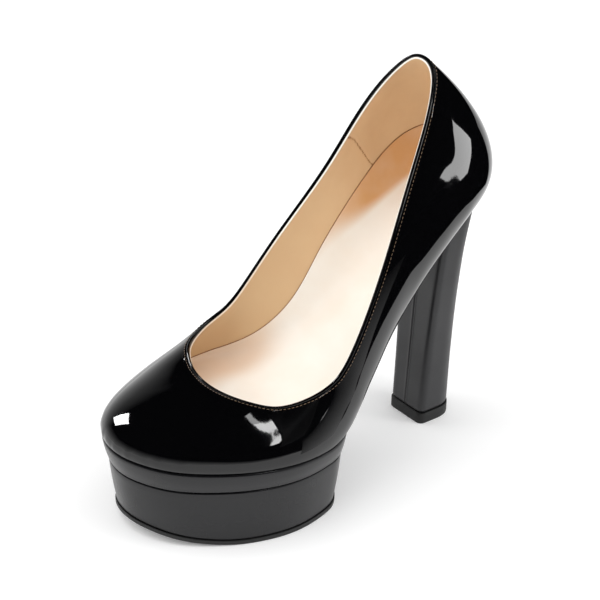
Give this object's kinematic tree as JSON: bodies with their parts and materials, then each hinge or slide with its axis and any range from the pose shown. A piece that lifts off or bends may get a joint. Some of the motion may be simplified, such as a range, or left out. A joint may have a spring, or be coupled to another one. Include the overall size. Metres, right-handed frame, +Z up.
{
  "type": "platform shoe",
  "caption": "Left high-heeled platform pump: hollow patent upper open at the throat and collar, platform with band and outsole, tapered block heel with top lift.",
  "frame": {"origin": "on the floor, at the middle of the bounding box seen from above", "axes": "+Z up, -Y towards the toe, +Y towards the heel, +X towards the outer (lateral) side of the left foot"},
  "size_m": [0.0966, 0.2084, 0.1936],
  "materials": {
    "patent_upper": "black patent leather with a mirror-like lacquer, cream leather lining inside",
    "insole_leather": "smooth cream leather sock",
    "sole_leather": "smooth black painted sole leather",
    "band_cover": "black patent leather wrapped round the band, satin gloss",
    "platform_cover": "black patent leather wrapped round the platform, satin gloss",
    "outsole_rubber": "matt black moulded rubber",
    "heel_cover": "black patent leather wrapped round the heel, satin gloss",
    "lift_rubber": "matt black moulded rubber"
  },
  "bodies": {
    "root": {"upper": "patent_upper", "insole": "insole_leather", "sole": "sole_leather", "platform_band": "band_cover", "platform": "platform_cover", "outsole": "outsole_rubber", "heel": "heel_cover", "top_lift": "lift_rubber"}
  },
  "joints": []
}
